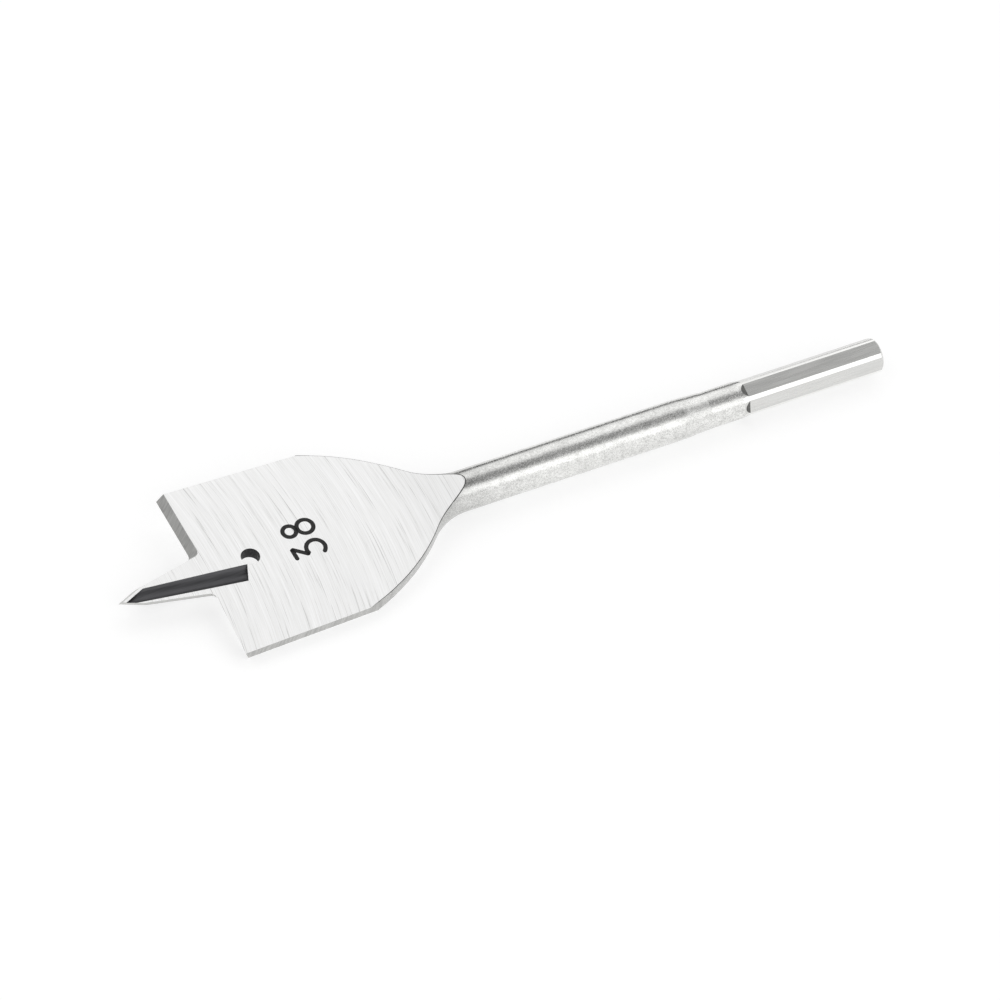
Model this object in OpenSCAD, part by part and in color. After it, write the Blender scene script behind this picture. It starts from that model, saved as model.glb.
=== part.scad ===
// Spade drill bit: one forged and ground piece of tool steel.
// A round bar is flattened to a paddle at one end and pressed to a hexagon at the other.
// The paddle is ground flat on both faces, then its point, lips and sides are ground with relief.
// All lengths are in millimetres. The bit turns clockwise seen from the hexagon,
// so everything ground at the tip repeats after half a turn about the axis.

/* [Overall] */
// Length from the tip to the end of the hexagon
total_len = 152; // [140:1:170]
// Diameter of the hole that the bit cuts
cut_d = 38; // [32:1:42]

/* [Blade] */
// Thickness of the blade between its ground faces
blade_t = 2.6; // [2:0.1:3.2]
// Length of the ground side lands, from the lips to the shoulder
land_len = 24.6; // [20:0.1:28]
// Back taper of each side land over its length
land_taper = 0.8; // [0.4:0.1:1.2]
// Relief of each side land across the blade's thickness
land_relief = 0.6; // [0.3:0.1:0.9]

/* [Shoulder and neck] */
// Angle between the axis and the outline where the shoulder leaves the land
shoulder_angle = 17; // [14:1:20]
// Radius of the convex shoulder seen from above
shoulder_r = 45; // [40:1:52]
// Radius of the concave neck seen from above
neck_r = 11; // [8:0.5:15]
// Radius of the run-out that the face grinding leaves at the neck
face_runout_r = 40; // [30:1:50]
// How far the ground faces run out past the end of the neck
face_overrun = 0.6; // [0:0.1:3]

/* [Point and lips] */
// Distance from the tip to the outer corners of the lips
point_len = 15.4; // [14:0.1:18]
// Width of the point at the lips, between its cutting edges
point_w = 9.9; // [8.5:0.1:11]
// Angle between the axis and each cutting edge of the point
point_angle = 12; // [9:0.5:14]
// Angle between the axis and each edge of the steeper tip
tip_angle = 24; // [21:1:30]
// How far each lip's outer corner stands ahead of its root
lip_lead = 0.4; // [0:0.1:0.8]
// Set-back of each lip's trailing edge across the blade's thickness
lip_relief = 1.0; // [0.6:0.1:1.3]
// Relief of each flank of the point across the blade's thickness
point_relief = 1.15; // [0.7:0.05:1.3]
// Radius of the corner between each lip and the point
root_r = 1.2; // [0.6:0.1:1.8]

/* [Hollow grinding of the point] */
// Radius of the groove behind each cutting edge of the point
groove_r = 2.2; // [2:0.1:3]
// Depth of the groove below the blade's face, level with the tip
groove_depth = 0.4; // [0.3:0.05:0.5]
// Slope by which the groove gets deeper behind the tip
groove_slope = 1.2; // [0.5:0.1:1.5]
// Distance of the groove's middle from the axis, level with the tip
groove_offset = 0.2; // [0.1:0.1:0.6]
// Angle between the axis and the groove
groove_angle = 7; // [5:0.5:9]
// Distance from the tip to the end of the groove
groove_len = 23.3; // [21:0.1:25]
// Slant of the groove's end wall
groove_skew = 14; // [0:1:30]
// Width of the face left between the edge of the tip and the groove
groove_margin = 0.5; // [0.3:0.05:0.8]

/* [Hanging hole] */
// Diameter of the hole in the blade
hole_d = 3.5; // [3:0.1:4]
// Distance of the hole from the outer corners of the lips
hole_setback = 9.6; // [8:0.1:14]

/* [Shank] */
// Diameter of the round shank
shank_d = 7.6; // [7.2:0.1:8.4]
// Diameter of the collar in front of the hexagon
collar_d = 7.0; // [6.9:0.05:7.1]
// Length of the collar
collar_len = 6.6; // [4:0.1:9]
// Length of the taper from the shank down to the collar
taper_len = 5.7; // [3:0.1:9]

/* [Hexagon] */
// Width of the hexagon across its flats
hex_af = 6.3; // [6.2:0.05:6.35]
// Diameter over the rounded corners of the hexagon
hex_corner_d = 6.85; // [6.7:0.05:6.85]
// Length of the hexagon
hex_len = 29.2; // [25:0.1:32]
// Length of the sloped start of each flat
hex_runout = 1.2; // [0.5:0.1:3]
// Chamfer on the end of the hexagon
hex_chamfer = 0.5; // [0.2:0.1:0.8]
// Turn of the hexagon about the axis, from a corner level with the blade
hex_turn = 41; // [0:1:59]

/* [Hidden] */
$fn = 96;

// Room that a cutter takes past what it cuts
over = 5;
half_t = blade_t / 2;
shank_r = shank_d / 2;

// The cutting corners sweep exactly the cutting diameter
corner_y = sqrt(pow(cut_d / 2, 2) - pow(half_t, 2));
land_end_x = point_len + land_len;
land_end_y = corner_y - land_taper;

// Outline of the blank: a convex arc through the end of the lands, then a concave one that ends on the shank
shoulder_y = norm([land_end_y, half_t]);
shoulder_c = [land_end_x - shoulder_r * sin(shoulder_angle), shoulder_y - shoulder_r * cos(shoulder_angle)];
turn_cos = (neck_r + shank_r - shoulder_c[1]) / (shoulder_r + neck_r);
turn_angle = acos(turn_cos);
neck_end_x = shoulder_c[0] + (shoulder_r + neck_r) * sin(turn_angle);
neck_c = [neck_end_x, shank_r + neck_r];
inflection = shoulder_c + shoulder_r * [sin(turn_angle), cos(turn_angle)];

// The ground faces end where their run-out meets the top of the shank
face_rise = shank_r - half_t;
face_end_x = neck_end_x + face_overrun;
face_flat_x = face_end_x - sqrt(face_rise * (2 * face_runout_r - face_rise));

// Point, seen on the plane of a cutting edge
root = [point_len + lip_lead, point_w / 2];
tip_slope = tan(tip_angle);
tip_vertex_x = -(point_relief / tip_slope + lip_relief) / 2;
edge_slope = tan(point_angle);
kink_x = (root[1] - edge_slope * root[0] + tip_slope * tip_vertex_x) / (tip_slope - edge_slope);
kink = [kink_x, tip_slope * (kink_x - tip_vertex_x)];
lip_slope = lip_lead / (corner_y - root[1]);

// The round cutter of the root stays this far off the lip, so that their faces cross and don't just touch
root_gap = 0.02;

// The upper face's own tip lies beside the axis
tip_side = (point_relief + tip_slope * lip_relief) / 2;

// The wheel that grinds lips and point moves along this direction through the blade
wheel_b = atan(lip_relief / blade_t);
wheel_a = atan(point_relief / norm([lip_relief, blade_t]));
wheel_u = [cos(wheel_b), 0, -sin(wheel_b)];
wheel_v = [sin(wheel_a) * sin(wheel_b), cos(wheel_a), sin(wheel_a) * cos(wheel_b)];

// A point of the plane of the cutting edge, seen along the wheel's direction
function wheel_view(p) = [p[0] * wheel_u[0], p[0] * wheel_v[0] + p[1] * wheel_v[1]];

// Shank stations along the axis
hex_x = total_len - hex_len;
collar_x = hex_x - collar_len;
taper_x = collar_x - taper_len;

// The sloped start of each flat begins this far past the collar, and this far above the corners
hex_start = 0.05;

// Lying free, the bit rests on its shank and on the trailing corner of one lip
rest_y = corner_y - land_relief;
rest_roll = asin(shank_r / norm([rest_y, half_t])) - atan(half_t / rest_y);

// Repeat after half a turn about the axis
module both_sides() {
    children();
    rotate([180, 0, 0]) children();
}

// Half outline of the paddle, from the axis outwards: shoulder arc in front, neck arc behind
module paddle_outline() {
    intersection() {
        translate([shoulder_c[1], shoulder_c[0]]) circle(shoulder_r, $fn = 360);
        translate([0, shoulder_c[0]]) square([cut_d, inflection[0] - shoulder_c[0]]);
    }
    difference() {
        translate([0, inflection[0]]) square([neck_c[1], neck_end_x - inflection[0]]);
        translate([neck_c[1], neck_c[0]]) circle(neck_r, $fn = 180);
    }
}

// Round blank that the blade is ground from, with the shank and its taper
module blank() {
    rotate([0, 90, 0])
        rotate_extrude() {
            translate([0, -over]) square([corner_y + over, shoulder_c[0] + over]);
            paddle_outline();
            polygon([
                [0, neck_end_x - over],
                [shank_r / 2, neck_end_x - over],
                [shank_r / 2, neck_end_x],
                [shank_r, neck_end_x],
                [shank_r, taper_x],
                [collar_d / 2, collar_x],
                [0, collar_x],
            ]);
        }
}

// What is pressed away to leave the six flats: the cutters are wider than a flat and keep apart
module hex_flats() {
    flat_w = sqrt(pow(hex_corner_d, 2) - pow(hex_af, 2));
    sharp_w = hex_af * tan(30);
    for (i = [0:5])
        rotate([hex_turn + 30 + 60 * i, 0, 0])
            rotate([90, 0, 0])
                linear_extrude((flat_w + sharp_w) / 2, center = true)
                    polygon([
                        [hex_x + hex_start, hex_corner_d / 2 + hex_start],
                        [hex_x + hex_runout, hex_af / 2],
                        [total_len + over, hex_af / 2],
                        [total_len + over, hex_corner_d],
                        [hex_x + hex_start, hex_corner_d],
                    ]);
}

// Drive end: collar and hexagon
module drive_end() {
    difference() {
        rotate([0, 90, 0])
            rotate_extrude()
                polygon([
                    [0, collar_x],
                    [collar_d / 2, collar_x],
                    [collar_d / 2, hex_x],
                    [hex_corner_d / 2, hex_x],
                    [hex_corner_d / 2, total_len - hex_chamfer],
                    [hex_corner_d / 2 - hex_chamfer, total_len],
                    [0, total_len],
                ]);
        hex_flats();
    }
}

// What grinding one face of the blade takes away, with the wheel's run-out at the neck
module face_cut() {
    translate([-2 * over, -cut_d, half_t]) cube([face_flat_x + 2 * over, 2 * cut_d, cut_d]);
    translate([face_flat_x, 0, half_t + face_runout_r])
        rotate([90, 0, 0]) cylinder(h = 2 * cut_d, r = face_runout_r, center = true, $fn = 180);
}

// What grinding one side land takes away
module land_cut() {
    translate([point_len, corner_y, -half_t])
        rotate(-atan(land_taper / land_len))
            rotate([atan(land_relief / blade_t), 0, 0])
                translate([-point_len - 2 * over, 0, -cut_d / 2])
                    cube([land_end_x + 4 * over, cut_d, cut_d]);
}

// What grinding one lip and one flank of the point takes away
module lip_cut() {
    outer_y = cut_d;
    corner = wheel_view(root);
    outer = wheel_view([root[0] - lip_slope * (outer_y - root[1]), outer_y]);
    side = wheel_view(kink);
    along_lip = (outer - corner) / norm(outer - corner);
    along_edge = (side - corner) / norm(side - corner);
    half_corner = acos(along_lip * along_edge) / 2;
    tangent = root_r / tan(half_corner);
    middle = along_lip + along_edge;
    before_tip = [tip_vertex_x - 2 * over, -2 * over * tip_slope];
    translate([0, 0, -half_t])
        rotate([0, wheel_b, 0])
            rotate([wheel_a, 0, 0]) {
                linear_extrude(4 * cut_d, center = true)
                    polygon([
                        corner + tangent * along_lip,
                        outer,
                        wheel_view([-2 * over, outer_y]),
                        wheel_view(before_tip),
                        wheel_view(kink),
                        corner + tangent * along_edge,
                    ]);
                translate(corner + root_r / sin(half_corner) * middle / norm(middle))
                    cylinder(h = 4 * cut_d, r = root_r - root_gap, center = true);
            }
}

// What hollow grinding takes away behind one cutting edge of the point
module groove_cut() {
    intersection() {
        translate([0, -tip_side, 0])
            rotate(tip_angle)
                translate([-cut_d, -cut_d - groove_margin, -cut_d])
                    cube([3 * cut_d, cut_d, 2 * cut_d]);
        translate([0, -groove_offset, half_t + groove_r - groove_depth])
            rotate(-groove_angle)
                intersection() {
                    rotate([0, 90 + groove_slope, 0])
                        translate([0, 0, -over]) cylinder(h = groove_len + 2 * over, r = groove_r);
                    translate([groove_len, 0, 0])
                        rotate(-groove_skew)
                            translate([-2 * groove_len, -cut_d / 2, -cut_d / 2])
                                cube([2 * groove_len, cut_d, cut_d]);
                }
    }
}

// The bit along the x axis, with its tip at the origin
module straight_bit() {
    difference() {
        blank();
        both_sides() {
            face_cut();
            land_cut();
            lip_cut();
            groove_cut();
        }
        translate([point_len + hole_setback, 0, 0]) cylinder(h = cut_d, d = hole_d, center = true);
    }
    drive_end();
}

// The bit as it lies on a table, centred over the origin
module spade_bit() {
    color("silver")
        translate([-total_len / 2, 0, shank_r])
            rotate([rest_roll, 0, 0])
                straight_bit();
}

spade_bit();
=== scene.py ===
# %% [markdown]
# A flat wood bit lies on a pale studio floor.
# The real bit is one piece of tool steel: a round bar, flattened to a paddle at one end,
# pressed to a hexagon at the other, then ground where it cuts.
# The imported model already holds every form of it, so this lesson is about finish:
# how each way of working steel leaves its own surface, and how light shows it.

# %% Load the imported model
import math

import bmesh
import bpy
import numpy as np
from mathutils import Matrix, Vector


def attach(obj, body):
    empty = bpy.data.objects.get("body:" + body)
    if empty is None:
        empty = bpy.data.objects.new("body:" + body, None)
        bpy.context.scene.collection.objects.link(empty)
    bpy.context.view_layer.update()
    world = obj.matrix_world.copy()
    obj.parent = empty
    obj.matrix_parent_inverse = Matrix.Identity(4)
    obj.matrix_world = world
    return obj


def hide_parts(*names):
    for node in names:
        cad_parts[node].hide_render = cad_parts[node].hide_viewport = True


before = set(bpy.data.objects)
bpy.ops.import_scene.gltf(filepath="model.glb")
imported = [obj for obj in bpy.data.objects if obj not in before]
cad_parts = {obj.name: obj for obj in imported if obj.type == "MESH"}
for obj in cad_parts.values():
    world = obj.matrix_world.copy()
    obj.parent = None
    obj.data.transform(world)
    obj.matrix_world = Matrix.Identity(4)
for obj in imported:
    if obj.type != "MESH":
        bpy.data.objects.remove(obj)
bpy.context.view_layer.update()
scene = bpy.context.scene
scene.view_settings.view_transform = "Standard"

# %% [markdown]
# The bit doesn't lie flat: its shank is thicker than its blade, so it leans on the shank
# and on one corner of a lip. The blade is therefore rolled by a few degrees about the long axis.
# Most sizes are easier to say on the straight bit, with its tip at zero and its blade level,
# so two small functions go between that straight frame, in mm, and the resting one, in metres.

# %% The straight frame of the bit, in mm
MM_IN_M = 1000.0
TOTAL_LEN = 152.0
SHANK_R = 3.8
CUT_R = 19.0
HALF_T = 1.3
CORNER_Y = math.sqrt(CUT_R ** 2 - HALF_T ** 2)
LAND_RELIEF = 0.6
REST_Y = CORNER_Y - LAND_RELIEF
ROLL = math.asin(SHANK_R / math.hypot(REST_Y, HALF_T)) - math.atan(HALF_T / REST_Y)
ROLL_MATRIX = np.array(Matrix.Rotation(ROLL, 3, "X"))
REST_PLACE = np.array([-TOTAL_LEN / 2, 0.0, SHANK_R])


def to_rest(points_mm):
    """Straight frame in mm to resting frame in metres: roll about the axis, then move."""
    return (points_mm @ ROLL_MATRIX.T + REST_PLACE) / MM_IN_M


def to_straight(points_m):
    """Resting frame in metres to straight frame in mm: the same steps undone."""
    return (points_m * MM_IN_M - REST_PLACE) @ ROLL_MATRIX


print("roll of the resting blade, degrees:", round(math.degrees(ROLL), 3))

# %% [markdown]
# A long lens far away flattens the view, as product photographs do.
# The camera's place and its three axes were worked out from the bit's own corners in the photograph:
# tip, lips, hole, shoulder and the ends of the shank. Its picture is square, 1000 pixels wide.

# %% Camera
CAMERA_PLACE_MM = (-361.544, -651.427, 753.776)
CAMERA_AXES = ((0.89287, -0.44862, 0.03899),
               (0.29564, 0.6493, 0.70072),
               (-0.33967, -0.61412, 0.71237))
PICTURE_PX = 1000.0
FOCAL_PX = 5882.3
camera_data = bpy.data.cameras.new("studio_camera")
camera_data.sensor_width = 36.0
camera_data.lens = FOCAL_PX / PICTURE_PX * camera_data.sensor_width
camera_data.clip_start = 0.05
camera_data.clip_end = 50.0
camera = bpy.data.objects.new("studio_camera", camera_data)
turn = Matrix(CAMERA_AXES).transposed().to_quaternion()
camera.matrix_world = Matrix.LocRotScale(Vector(CAMERA_PLACE_MM) / MM_IN_M, turn, None)
scene.collection.objects.link(camera)
scene.camera = camera
print("lens in mm:", round(camera_data.lens, 1))

# %% [markdown]
# Every finish below is a small graph of shader nodes. Two helpers keep the graphs readable:
# one turns an sRGB hex colour, as a colour picker shows it, to the linear numbers that light needs,
# and one adds a node together with its settings, its socket values and its links.


# %% Helpers for colours and nodes
def linear(code):
    """sRGB hex to linear RGBA: channels up to 0.04045 are divided by 12.92, others follow a 2.4 power."""
    share = np.array([int(code[i:i + 2], 16) for i in (1, 3, 5)]) / 255.0
    light = np.where(share <= 0.04045, share / 12.92, ((share + 0.055) / 1.055) ** 2.4)
    return (*light.tolist(), 1.0)


def add_node(tree, kind, settings=(), values=(), links=()):
    """Add one node: settings are its fields, values its socket numbers, links what feeds its sockets."""
    made = tree.nodes.new(kind)
    for name, value in dict(settings).items():
        setattr(made, name, value)
    for name, value in dict(values).items():
        made.inputs[name].default_value = value
    for name, source in dict(links).items():
        tree.links.new(source, made.inputs[name])
    return made


def new_tree(owner):
    """An empty node tree of a material or of the world."""
    owner.use_nodes = True
    owner.node_tree.nodes.clear()
    return owner.node_tree


print("mid grey #808080 is", round(linear("#808080")[0], 3), "in linear light")

# %% [markdown]
# Bare steel has no colour of its own: it shows the room. So the room is drawn with care.
# It is a studio with white walls, a greyer ceiling and a dark skirting behind the table.
# The ceiling gives the round shank its dark band along the top, and the skirting darkens its far rim.

# %% The room
ROOM = ((0.03, "#2c2c2c"), (0.18, "#ffffff"), (0.84, "#ffffff"), (0.93, "#8a8a8a"))
BACKWARD = -0.2
world = bpy.data.worlds.new("studio_room")
scene.world = world
tree = new_tree(world)
where = add_node(tree, "ShaderNodeTexCoord")
way = add_node(tree, "ShaderNodeSeparateXYZ", links={"Vector": where.outputs["Generated"]})
level = add_node(tree, "ShaderNodeMath", {"operation": "MULTIPLY_ADD"}, values={1: BACKWARD},
                 links={0: way.outputs["Y"], 2: way.outputs["Z"]})
ramp = add_node(tree, "ShaderNodeValToRGB", links={"Fac": level.outputs["Value"]})
stops = ramp.color_ramp.elements
for _ in ROOM[2:]:
    stops.new(1.0)
for stop, (place, colour) in zip(stops, ROOM):
    stop.position = place
    stop.color = linear(colour)
room = add_node(tree, "ShaderNodeBackground", links={"Color": ramp.outputs["Color"]})
add_node(tree, "ShaderNodeOutputWorld", links={"Surface": room.outputs["Background"]})
print("the room has", len(stops), "stops from the skirting to the ceiling")

# %% [markdown]
# Soft boxes do what a photographer's would.
# A large one beside the camera lights the near flank of the shank.
# A weaker one stands off the drive end: the round shank hardly mirrors it, but the blade does,
# because its grinding lines run across it and throw light along it.


# %% Soft boxes
def soft_box(name, place, size, radiance):
    """A rectangular lamp that faces the bit: its power is radiance times area times pi."""
    lamp = bpy.data.lights.new(name, "AREA")
    lamp.shape = "RECTANGLE"
    lamp.size = size[0]
    lamp.size_y = size[1]
    lamp.energy = radiance * size[0] * size[1] * math.pi
    holder = bpy.data.objects.new(name, lamp)
    aim = (-Vector(place)).to_track_quat("-Z", "Y")
    holder.matrix_world = Matrix.LocRotScale(Vector(place), aim, None)
    scene.collection.objects.link(holder)
    print(name, "power", round(lamp.energy, 2), "W")


soft_box("soft_box_near", (0.10, -1.10, 0.75), (1.3, 0.7), 0.45)
soft_box("soft_box_drive_end", (1.03, 0.64, 0.80), (1.4, 1.4), 0.12)

# %% [markdown]
# The floor is a sheet of pale card. It is lit like everything else, so it keeps the bit's soft shadow,
# and a little light of its own, seen by the camera and by mirrors only, lifts it to a clean white.

# %% Floor
FLOOR_HALF = 3.0
FLOOR_DROP = 0.00002
corners = np.array([[-1, -1, 0], [1, -1, 0], [1, 1, 0], [-1, 1, 0]], float) * FLOOR_HALF
corners[:, 2] = -FLOOR_DROP
floor_mesh = bpy.data.meshes.new("studio_floor")
floor_mesh.from_pydata(corners.tolist(), [], [(0, 1, 2, 3)])
floor = bpy.data.objects.new("studio_floor", floor_mesh)
scene.collection.objects.link(floor)
print("floor of", 2 * FLOOR_HALF, "m")

# %% Card of the floor
CARD_LIFT = 0.64
card = bpy.data.materials.new("white_card")
tree = new_tree(card)
ray = add_node(tree, "ShaderNodeLightPath")
seen = add_node(tree, "ShaderNodeMath", {"operation": "MAXIMUM"},
                links={0: ray.outputs["Is Camera Ray"], 1: ray.outputs["Is Glossy Ray"]})
seen_all = add_node(tree, "ShaderNodeMath", {"operation": "MAXIMUM"},
                    links={0: seen.outputs["Value"], 1: ray.outputs["Is Transmission Ray"]})
lift = add_node(tree, "ShaderNodeMath", {"operation": "MULTIPLY"}, values={1: CARD_LIFT},
                links={0: seen_all.outputs["Value"]})
paper = add_node(tree, "ShaderNodeBsdfDiffuse", values={"Color": linear("#b4b4b4")})
glow = add_node(tree, "ShaderNodeEmission", links={"Strength": lift.outputs["Value"]})
both = add_node(tree, "ShaderNodeAddShader", links={0: paper.outputs["BSDF"], 1: glow.outputs["Emission"]})
add_node(tree, "ShaderNodeOutputMaterial", links={"Surface": both.outputs["Shader"]})
floor_mesh.materials.append(card)
print("the card's own light is", CARD_LIFT)

# %% [markdown]
# All the steel finishes share one base: a metal, whose base colour is the share of light that it returns.
# What sets them apart is the marks of the tool. Each mark is a noise in the bit's straight frame, in mm,
# stretched along the way the tool moved. It tints the metal a little, roughens it a little,
# and feeds a shallow bump, so that the marks catch the light from any side.


# %% One function for every steel finish
# How strongly parallel lines spread a reflection
LINE_SPREAD = 0.8
# Shares of the fine marks and of a broad drift in the tint, and how much broader the drift is
MARK_SHARE = 0.8
DRIFT_SHARE = 0.3
DRIFT_TIMES = 6.0
# Half the span of marks between the dark and the pale tint, and the depths at which a line counts as deep
SPAN = 0.2
DEEP = (0.09, 0.16)
# The span of marks over which the roughness changes
SATIN = (0.3, 0.7)
# Sockets of the two colours that a mix node takes, and of the colour that it gives
MIX_DARK = 6
MIX_PALE = 7
MIX_OUT = 2


def steel(name, dark, pale, rough, rough_span, mark_mm, bump_mm, bump_strength, detail=2.0,
          throw=None, bow_mm=None, score=None, dull=None):
    """Metal with tool marks: noise cells of mark_mm in x, y and z tint, roughen and bump the surface.
    Where the marks are parallel lines, throw is the direction across them, along which they spread
    a reflection, and bow_mm is the radius of the arcs that they follow:
    x + y * y / (2 * bow_mm) is the same all along a line.
    Where score is given, the tint falls to that share in the few deepest lines.
    Where dull is given, the tint grows from its third number to 1 between its first two, along x."""
    made = bpy.data.materials.new(name)
    tree = new_tree(made)
    where = add_node(tree, "ShaderNodeTexCoord")
    shift = -(REST_PLACE @ ROLL_MATRIX)
    straight = add_node(tree, "ShaderNodeMapping", links={"Vector": where.outputs["Object"]}, values={
        "Location": shift.tolist(), "Rotation": (-ROLL, 0.0, 0.0), "Scale": (MM_IN_M, MM_IN_M, MM_IN_M)})
    if bow_mm:
        axes = add_node(tree, "ShaderNodeSeparateXYZ", links={"Vector": straight.outputs["Vector"]})
        square = add_node(tree, "ShaderNodeMath", {"operation": "MULTIPLY"},
                          links={0: axes.outputs["Y"], 1: axes.outputs["Y"]})
        bowed = add_node(tree, "ShaderNodeMath", {"operation": "MULTIPLY_ADD"}, values={1: 0.5 / bow_mm},
                         links={0: square.outputs["Value"], 2: axes.outputs["X"]})
        straight = add_node(tree, "ShaderNodeCombineXYZ", links={
            "X": bowed.outputs["Value"], "Y": axes.outputs["Y"], "Z": axes.outputs["Z"]})
    cells = add_node(tree, "ShaderNodeMapping", links={"Vector": straight.outputs["Vector"]},
                     values={"Scale": [1.0 / m for m in mark_mm]})
    marks = add_node(tree, "ShaderNodeTexNoise", links={"Vector": cells.outputs["Vector"]},
                     values={"Scale": 1.0, "Detail": detail, "Roughness": 0.6})
    broad = add_node(tree, "ShaderNodeMapping", links={"Vector": straight.outputs["Vector"]},
                     values={"Scale": [1.0 / (DRIFT_TIMES * m) for m in mark_mm]})
    drift = add_node(tree, "ShaderNodeTexNoise", links={"Vector": broad.outputs["Vector"]},
                     values={"Scale": 1.0, "Detail": 2.0})
    part = add_node(tree, "ShaderNodeMath", {"operation": "MULTIPLY"}, values={1: DRIFT_SHARE},
                    links={0: drift.outputs["Fac"]})
    blend = add_node(tree, "ShaderNodeMath", {"operation": "MULTIPLY_ADD"}, values={1: MARK_SHARE},
                     links={0: marks.outputs["Fac"], 2: part.outputs["Value"]})
    middle = (MARK_SHARE + DRIFT_SHARE) / 2
    spread = add_node(tree, "ShaderNodeMapRange", links={"Value": blend.outputs["Value"]}, values={
        "From Min": middle - SPAN, "From Max": middle + SPAN, "To Min": 0.0, "To Max": 1.0})
    tint = add_node(tree, "ShaderNodeMix", {"data_type": "RGBA"},
                    values={MIX_DARK: linear(dark), MIX_PALE: linear(pale)},
                    links={"Factor": spread.outputs["Result"]})
    colour = tint.outputs[MIX_OUT]
    if score:
        deep = add_node(tree, "ShaderNodeMapRange", links={"Value": blend.outputs["Value"]}, values={
            "From Min": middle - DEEP[1], "From Max": middle - DEEP[0], "To Min": score, "To Max": 1.0})
        scored = add_node(tree, "ShaderNodeVectorMath", {"operation": "SCALE"},
                          links={0: colour, "Scale": deep.outputs["Result"]})
        colour = scored.outputs["Vector"]
    if dull:
        place = add_node(tree, "ShaderNodeSeparateXYZ", links={"Vector": straight.outputs["Vector"]})
        share = add_node(tree, "ShaderNodeMapRange", links={"Value": place.outputs["X"]}, values={
            "From Min": dull[0], "From Max": dull[1], "To Min": dull[2], "To Max": 1.0})
        scaled = add_node(tree, "ShaderNodeVectorMath", {"operation": "SCALE"},
                          links={0: colour, "Scale": share.outputs["Result"]})
        colour = scaled.outputs["Vector"]
    satin = add_node(tree, "ShaderNodeMapRange", links={"Value": marks.outputs["Fac"]}, values={
        "From Min": SATIN[0], "From Max": SATIN[1],
        "To Min": rough - rough_span, "To Max": rough + rough_span})
    relief = add_node(tree, "ShaderNodeBump", links={"Height": marks.outputs["Fac"]}, values={
        "Strength": bump_strength, "Distance": bump_mm / MM_IN_M})
    surface = add_node(tree, "ShaderNodeBsdfPrincipled", values={"Metallic": 1.0}, links={
        "Base Color": colour, "Roughness": satin.outputs["Result"], "Normal": relief.outputs["Normal"]})
    if throw:
        along = add_node(tree, "ShaderNodeCombineXYZ", values={"X": throw[0], "Y": throw[1], "Z": throw[2]})
        surface.inputs["Anisotropic"].default_value = LINE_SPREAD
        tree.links.new(along.outputs["Vector"], surface.inputs["Tangent"])
    add_node(tree, "ShaderNodeOutputMaterial", links={"Surface": surface.outputs["BSDF"]})
    print("finish", name, "roughness", rough)
    return made


print("marks tint by", MARK_SHARE, "and the drift by", DRIFT_SHARE)
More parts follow.
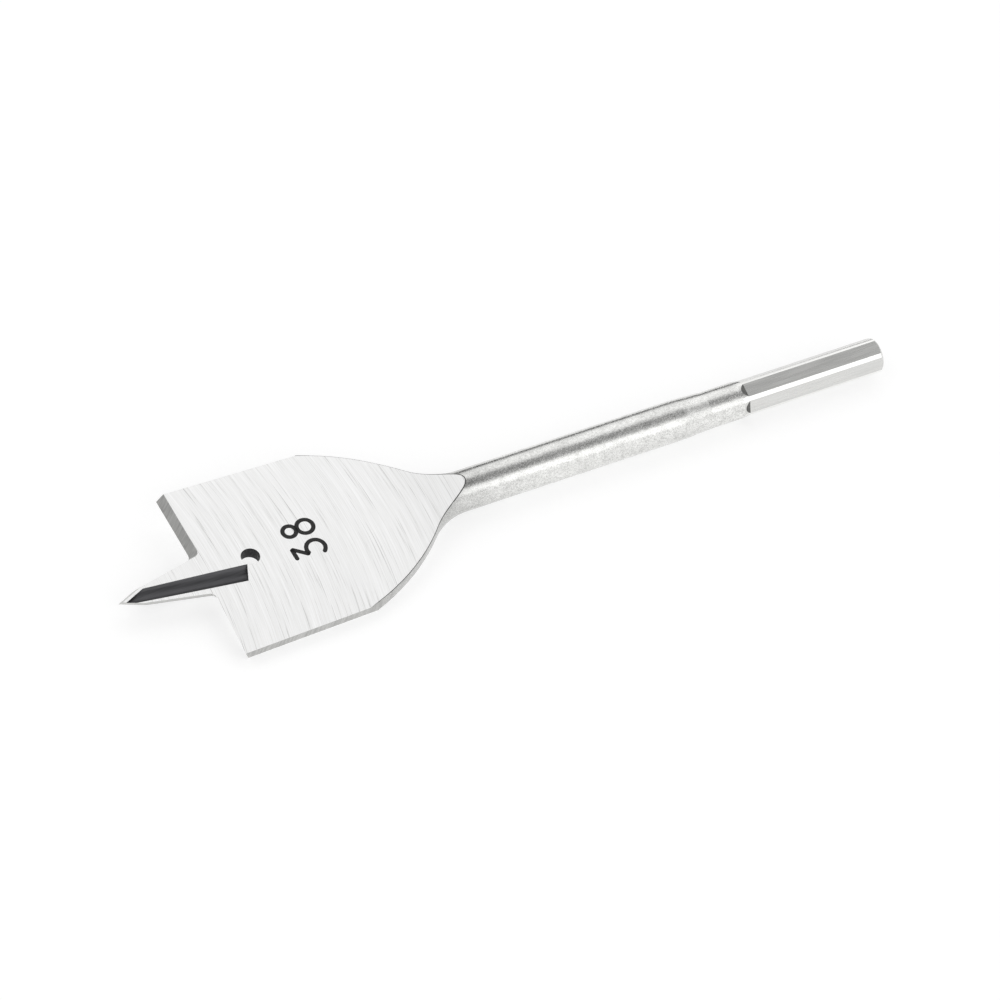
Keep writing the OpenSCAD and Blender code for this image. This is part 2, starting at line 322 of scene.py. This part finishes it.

# %% [markdown]
# Each finish is named for how the steel was worked or for the light that it paints. Its base colour is pale
# where the metal is clean and bright, and greyer on the ground lips and lands. The dark tints of the
# point's hollow, the hole's wall, the line along the forged edge and the sloped starts of the hexagon's
# flats are painted shade, and the pale tint of the hexagon's corners is a painted highlight.
# Marks finer than about a sixth of a millimetre don't show at this distance, so the fine grits are drawn a
# little coarser than they are.

# %% The finishes
FINISH_SETTINGS = {
    # Wide wheel across the blade: fine lines from side to side, nearly white, a few of them deep.
    "cross_ground_face": dict(dark="#e6e6e5", pale="#ffffff", rough=0.34, rough_span=0.04,
                              mark_mm=(0.17, 13.0, 13.0), bump_mm=0.01, bump_strength=0.12, detail=3.0,
                              throw=(1.0, 0.0, 0.0), bow_mm=100.0, score=0.70),
    # Wheel along the lips: short lines across the blade's thickness, greyer.
    "ground_lip": dict(dark="#828281", pale="#b0b0ae", rough=0.36, rough_span=0.08,
                       mark_mm=(4.0, 0.40, 4.0), bump_mm=0.01, bump_strength=0.25),
    # Side lands: short lines across the thickness, along the whole land.
    "ground_land": dict(dark="#a4a4a2", pale="#d2d2d0", rough=0.36, rough_span=0.08,
                        mark_mm=(0.40, 4.0, 4.0), bump_mm=0.01, bump_strength=0.25),
    # Flanks of the point: ground along the edge.
    "ground_flank": dict(dark="#a8a8a6", pale="#d2d2cf", rough=0.36, rough_span=0.06,
                         mark_mm=(3.0, 0.35, 0.35), bump_mm=0.01, bump_strength=0.2),
    # Hollow of the point, left smooth by a small wheel: its dark tint paints the dark surroundings that the
    # hollow mirrors.
    "hollow_painted_reflection": dict(dark="#4e4e50", pale="#606062", rough=0.45, rough_span=0.05,
                          mark_mm=(6.0, 0.30, 0.30), bump_mm=0.006, bump_strength=0.2),
    # Drilled wall of the hole: rough, and its dark tint paints the shade inside the hole.
    "painted_shade_hole_wall": dict(dark="#2e2e2f", pale="#454546", rough=0.5, rough_span=0.06,
                         mark_mm=(2.0, 2.0, 0.20), bump_mm=0.01, bump_strength=0.3, detail=1.0),
    # Forged and blasted bar: an even fine grain with a satin sheen, duller where the paddle was forged.
    "blasted_bar": dict(dark="#c2c2c0", pale="#fdfdfb", rough=0.25, rough_span=0.06,
                        mark_mm=(0.30, 0.26, 0.26), bump_mm=0.014, bump_strength=0.55,
                        dull=(58.0, 76.0, 0.68)),
    # Pressed hexagon: smooth flats with faint lines along them.
    "pressed_hexagon": dict(dark="#d0d0ce", pale="#dededc", rough=0.27, rough_span=0.03,
                            mark_mm=(9.0, 0.50, 0.50), bump_mm=0.004, bump_strength=0.12),
    # Corners of the hexagon, left from the bar: their pale tint paints the bright highlight along each
    # corner.
    "painted_highlight_corner": dict(dark="#eeeeec", pale="#fafaf8", rough=0.24, rough_span=0.03,
                          mark_mm=(6.0, 0.5, 0.5), bump_mm=0.004, bump_strength=0.1),
    # Line along the forged edge, where the face wheel ran off it: its dark tint paints a thin line of shade
    # there.
    "painted_shade_edge_line": dict(dark="#505050", pale="#6c6c6b", rough=0.40, rough_span=0.04,
                         mark_mm=(0.4, 0.4, 0.4), bump_mm=0.006, bump_strength=0.2),
    # Sloped starts of the flats, squeezed by the edge of the press: a little rougher, and their dark tint
    # paints the shade of the slopes.
    "painted_shade_press_start": dict(dark="#585857", pale="#747472", rough=0.40, rough_span=0.04,
                        mark_mm=(0.5, 0.5, 0.5), bump_mm=0.01, bump_strength=0.3),
}
FINISHES = {name: steel(name, **settings) for name, settings in FINISH_SETTINGS.items()}

# %% [markdown]
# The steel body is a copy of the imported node. Its loose triangles are merged to one skin,
# flat regions are dissolved to single faces, and edges stay sharp where the grinding left them sharp.
# A copy keeps the true form, so only the finish is new.

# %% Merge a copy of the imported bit
MERGE_DISTANCE = 1e-7
FLAT_ANGLE = math.radians(0.2)
SHARP_ANGLE = math.radians(12)
cad_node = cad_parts["spade_bit"]
skin = bmesh.new()
skin.from_mesh(cad_node.data)
loose_count = len(skin.faces)
bmesh.ops.remove_doubles(skin, verts=skin.verts, dist=MERGE_DISTANCE)
bmesh.ops.dissolve_limit(skin, angle_limit=FLAT_ANGLE, verts=skin.verts, edges=skin.edges)
body_mesh = bpy.data.meshes.new("bit_steel")
skin.to_mesh(body_mesh)
skin.free()
body = bpy.data.objects.new("bit_steel", body_mesh)
scene.collection.objects.link(body)
body_mesh.shade_smooth()
body_mesh.set_sharp_from_angle(angle=SHARP_ANGLE)
print("merged", loose_count, "triangles to", len(body_mesh.polygons), "faces")

# %% [markdown]
# Which tool made which face? The answer is in each face's place and direction in the straight frame.
# A face that looks straight up or down belongs to the blade, one that looks towards the tip is a lip,
# one that looks sideways far out is a land, and so on. The tests run on whole arrays at once.

# %% Where each form lies, in mm of the straight frame
HOLE_X = 25.0
HOLE_R = 1.75
FACE_END_X = 67.6
LAND_Y = 17.0
LIP_X = (14.5, 17.6)
ROOT_Y = 7.0
POINT_Y = 6.5
POINT_END_X = 17.0
SHOULDER_X = 30.0
SHOULDER_Y = 14.0
BAR_X = 44.0
HEX_X = 122.85
HEX_START = 1.3
HEX_TURN = 41.0
HEX_STEP = 60.0
CORNER_SPAN = 8.0
GROOVE_R = 2.2
GROOVE_DEPTH = 0.4
GROOVE_OFFSET = 0.2
GROOVE_ANGLE = math.radians(7.0)
GROOVE_SLOPE = math.radians(1.2)
GROOVE_MARGIN = 0.5
GROOVE_FRONT_X = 4.5
GROOVE_END = (18.5, 24.5)
GROOVE_Y = 6.0
TIP_ANGLE = math.radians(24.0)
POINT_RELIEF = 1.15
LIP_RELIEF = 1.0
TIP_SIDE = (POINT_RELIEF + math.tan(TIP_ANGLE) * LIP_RELIEF) / 2
GROOVE_START = np.array([0.0, -GROOVE_OFFSET, HALF_T + GROOVE_R - GROOVE_DEPTH])
GROOVE_WAY = np.array([math.cos(GROOVE_SLOPE) * math.cos(GROOVE_ANGLE),
                       -math.cos(GROOVE_SLOPE) * math.sin(GROOVE_ANGLE), -math.sin(GROOVE_SLOPE)])
print("the middle of the groove starts at", GROOVE_START.round(2).tolist())


# %% Place and direction of every face
def between(value, pair):
    """True where a value lies between the two numbers of a pair."""
    return (value > pair[0]) & (value < pair[1])


count = len(body_mesh.polygons)
centres = np.empty(count * 3)
normals = np.empty(count * 3)
body_mesh.polygons.foreach_get("center", centres)
body_mesh.polygons.foreach_get("normal", normals)
x, y, z = to_straight(centres.reshape(-1, 3)).T
nx, ny, nz = (normals.reshape(-1, 3) @ ROLL_MATRIX).T
wide, rise = np.abs(y), np.abs(nz)
# The lower side repeats the upper one after half a turn, so it is turned up before the groove is looked for
upper = np.where(z > 0, 1.0, -1.0)
turned = np.stack([x, upper * y, upper * z], axis=1)
from_groove = np.linalg.norm(np.cross(turned - GROOVE_START, GROOVE_WAY), axis=1)
from_tip = math.sin(TIP_ANGLE) * x - math.cos(TIP_ANGLE) * (turned[:, 1] + TIP_SIDE)
off_corner = np.abs((np.degrees(np.arctan2(nz, ny)) - HEX_TURN) % HEX_STEP - HEX_STEP / 2)
print("measured", count, "faces")

# %% Sort the faces by the tool that made them
FACING = 0.9
STEEP = 0.1
blade_face = (rise > FACING) & (np.abs(ny) < 0.02) & (x < FACE_END_X)
groove_floor = (np.abs(from_groove - GROOVE_R) < 0.06) & (x < GROOVE_END[1]) & (rise < 0.9999)
groove_front = (np.abs(from_tip - GROOVE_MARGIN) < 0.02) & (x < GROOVE_FRONT_X) & (rise < STEEP)
groove_end = between(x, GROOVE_END) & (wide < GROOVE_Y) & (rise < STEEP)
hollow = (groove_floor | groove_front | groove_end) & ~blade_face
hole_wall = (np.abs(np.hypot(x - HOLE_X, y) - HOLE_R) < 0.12) & (rise < 0.3)
hexagon = x > HEX_X
start = between(x, (HEX_X, HEX_X + HEX_START)) & between(nx, (0.05, FACING))
corner = hexagon & (off_corner < CORNER_SPAN) & (np.abs(nx) < 0.05)
bar = (x > BAR_X) & (x <= HEX_X) & ~blade_face
land = (np.abs(ny) > FACING) & (wide > LAND_Y) & ~bar
forged = bar | ((wide > SHOULDER_Y) & (x > SHOULDER_X) & ~land & ~blade_face)
lip_root = (nx < -0.3) & (wide < ROOT_Y) & (rise < 0.5)
lip = between(x, LIP_X) & ((nx < -0.75) | lip_root)
flank = (np.abs(ny) > 0.5) & (wide < POINT_Y) & (x < POINT_END_X) & ~lip & ~hollow
left_over = ~(blade_face | hole_wall | hexagon | forged | land | lip | flank | hollow)
print("left over", int(left_over.sum()), "faces")

# %% Give each face its finish
order = list(FINISHES)
finish = np.full(count, order.index("ground_flank"), np.int32)
# The hollow, the hole's wall, the forged edge line and the sloped starts carry painted shade, and the
# hexagon's corners a painted highlight.
made_by = (("cross_ground_face", blade_face), ("blasted_bar", forged), ("ground_land", land),
           ("ground_lip", lip), ("ground_flank", flank), ("pressed_hexagon", hexagon),
           ("painted_highlight_corner", corner), ("painted_shade_press_start", start), ("hollow_painted_reflection", hollow),
           ("painted_shade_hole_wall", hole_wall))
for name, chosen in made_by:
    finish[chosen] = order.index(name)
    print(name, int(chosen.sum()), "faces")
for made in FINISHES.values():
    body_mesh.materials.append(made)
body_mesh.polygons.foreach_set("material_index", finish)

# %% [markdown]
# A ground edge is never perfectly sharp: a hair's breadth of it is rounded, and that catches the light.
# A bevel of a few hundredths of a millimetre gives it, and weighted normals keep the flats flat.
# Where the face wheel ran off the forged edge of the paddle, those edges are marked first
# and get a bevel of their own, a little wider, whose dark finish paints a thin line of shade along the
# edge.

# %% Hair-fine edges
EDGE_MM = 0.05
EDGE_ANGLE = math.radians(28)
SHADE_LINE_MM = 0.10
BEVELS = (("shade_line", "WEIGHT", SHADE_LINE_MM, 4), ("edge_break", "ANGLE", EDGE_MM, 2))
shade_line_pair = {order.index("cross_ground_face"), order.index("blasted_bar")}
skin = bmesh.new()
skin.from_mesh(body_mesh)
weight = skin.edges.layers.float.new("bevel_weight_edge")
shade_line_count = 0
for edge in skin.edges:
    if {face.material_index for face in edge.link_faces} == shade_line_pair:
        edge[weight] = 1.0
        shade_line_count += 1
skin.to_mesh(body_mesh)
skin.free()
for name, limit, width_mm, segments in BEVELS:
    bevel = body.modifiers.new(name, "BEVEL")
    bevel.limit_method = limit
    bevel.angle_limit = EDGE_ANGLE
    bevel.width = width_mm / MM_IN_M
    bevel.segments = segments
    bevel.use_clamp_overlap = limit == "ANGLE"
# The wider bevel takes a dark finish, which paints the thin line of shade along the forged edge.
body.modifiers["shade_line"].material = order.index("painted_shade_edge_line")
weighted = body.modifiers.new("flat_normals", "WEIGHTED_NORMAL")
weighted.keep_sharp = True
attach(body, "root")
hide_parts("spade_bit")
print("edge break", EDGE_MM, "mm, burr on", shade_line_count, "edges")

# %% [markdown]
# The size mark, a plain 38, is printed on the blade in black ink, one thin layer thick.
# Each stroke is a ribbon: a line of points, widened to both sides, with ends that close in a half circle.
# The three is a bar, a slanting stroke and a bowl, and the eight is two rings.


# %% Ribbon strokes
END_SHARE = 0.02
LINE_POINTS = 40
RING_POINTS = 72
ARC_POINTS = 90


def ribbon(path, width, closed):
    """Widen a path: each point moves sideways by half the width, less near free ends, as a half circle."""
    step = np.roll(path, -1, 0) - np.roll(path, 1, 0)
    if not closed:
        step[0] = path[1] - path[0]
        step[-1] = path[-1] - path[-2]
    way = step / np.linalg.norm(step, axis=1, keepdims=True)
    side = np.stack([-way[:, 1], way[:, 0]], axis=1)
    half = np.full(len(path), width / 2)
    if not closed:
        run = np.concatenate([[0.0], np.cumsum(np.linalg.norm(np.diff(path, axis=0), axis=1))])
        edge = np.minimum(run, run[-1] - run)
        near = np.clip(1.0 - edge / (width / 2), 0.0, 1.0)
        half = half * np.sqrt(np.maximum(1.0 - near ** 2, END_SHARE ** 2))
    return path + side * half[:, None], path - side * half[:, None]


def stroke_mesh(path, width, closed, low, high):
    """Corners and faces of a thick ribbon: four rails along the path, joined by quads, and end caps."""
    left, right = ribbon(path, width, closed)
    n = len(path)
    rails = [(left, high), (right, high), (right, low), (left, low)]
    corners = np.concatenate([np.column_stack([rail, np.full(n, level)]) for rail, level in rails])
    i = np.arange(n if closed else n - 1)
    j = (i + 1) % n
    quads = np.concatenate([np.column_stack([i + n * a, i + n * b, j + n * b, j + n * a])
                            for a, b in ((0, 1), (1, 2), (2, 3), (3, 0))])
    faces = quads.tolist()
    if not closed:
        faces.append([0, 3 * n, 2 * n, n])
        faces.append([n - 1, 2 * n - 1, 3 * n - 1, 4 * n - 1])
    return corners, faces


def line(start, end, spare):
    """Straight path, longer by spare at both ends, with points gathered near the ends."""
    start, end = np.array(start, float), np.array(end, float)
    way = (end - start) / np.linalg.norm(end - start)
    share = (1 - np.cos(np.linspace(0, math.pi, LINE_POINTS)))[:, None] / 2
    return (start - way * spare) + (end - start + 2 * way * spare) * share


def arc(centre, radius, first, last, closed):
    """Path on a circle from one angle to another, in degrees."""
    if closed:
        angle = np.radians(np.linspace(first, last, RING_POINTS + 1)[:-1])
    else:
        angle = np.radians(np.linspace(first, last, ARC_POINTS))
    return np.array(centre) + radius * np.stack([np.cos(angle), np.sin(angle)], axis=1)


print("ribbon helpers ready")

# %% The printed size mark
STROKE = 0.8
INK_LOW = HALF_T - 0.01
INK_HIGH = HALF_T + 0.012
strokes = [
    (line((32.50, -3.75), (32.42, -1.40), STROKE / 4), False),
    (line((32.45, -1.40), (34.90, -3.40), STROKE / 4), False),
    (arc((36.62, -2.52), 1.72, 212.0, -60.0, False), False),
    (arc((33.70, 2.40), 1.22, 0.0, 360.0, True), True),
    (arc((36.78, 2.43), 1.50, 0.0, 360.0, True), True),
]
all_corners, all_faces, used = [], [], 0
for path, closed in strokes:
    corners, faces = stroke_mesh(path, STROKE, closed, INK_LOW, INK_HIGH)
    all_corners.append(corners)
    all_faces += [[index + used for index in face] for face in faces]
    used += len(corners)
mark_mesh = bpy.data.meshes.new("size_mark")
mark_mesh.from_pydata(to_rest(np.concatenate(all_corners)).tolist(), [], all_faces)
clean = bmesh.new()
clean.from_mesh(mark_mesh)
bmesh.ops.recalc_face_normals(clean, faces=clean.faces)
clean.to_mesh(mark_mesh)
clean.free()
mark = bpy.data.objects.new("size_mark", mark_mesh)
scene.collection.objects.link(mark)
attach(mark, "root")
print("size mark:", len(mark_mesh.polygons), "faces")

# %% [markdown]
# Marking ink dries to a dull black film. Small flecks vary its tone and its sheen a little,
# so that the number looks printed and not cut from paper.

# %% Ink of the size mark
INK_FLECK_MM = 0.4
INK_ROUGH = (0.5, 0.65)
ink = bpy.data.materials.new("black_marking_ink")
tree = new_tree(ink)
where = add_node(tree, "ShaderNodeTexCoord")
fleck = add_node(tree, "ShaderNodeTexNoise", links={"Vector": where.outputs["Object"]},
                 values={"Scale": MM_IN_M / INK_FLECK_MM, "Detail": 2.0})
tone = add_node(tree, "ShaderNodeMix", {"data_type": "RGBA"}, links={"Factor": fleck.outputs["Fac"]},
                values={MIX_DARK: linear("#1c1c1c"), MIX_PALE: linear("#2e2e2d")})
sheen = add_node(tree, "ShaderNodeMapRange", links={"Value": fleck.outputs["Fac"]},
                 values={"To Min": INK_ROUGH[0], "To Max": INK_ROUGH[1]})
paint = add_node(tree, "ShaderNodeBsdfPrincipled", values={"Specular IOR Level": 0.3},
                 links={"Base Color": tone.outputs[MIX_OUT], "Roughness": sheen.outputs["Result"]})
add_node(tree, "ShaderNodeOutputMaterial", links={"Surface": paint.outputs["BSDF"]})
mark_mesh.materials.append(ink)
print("ink flecks of", INK_FLECK_MM, "mm")
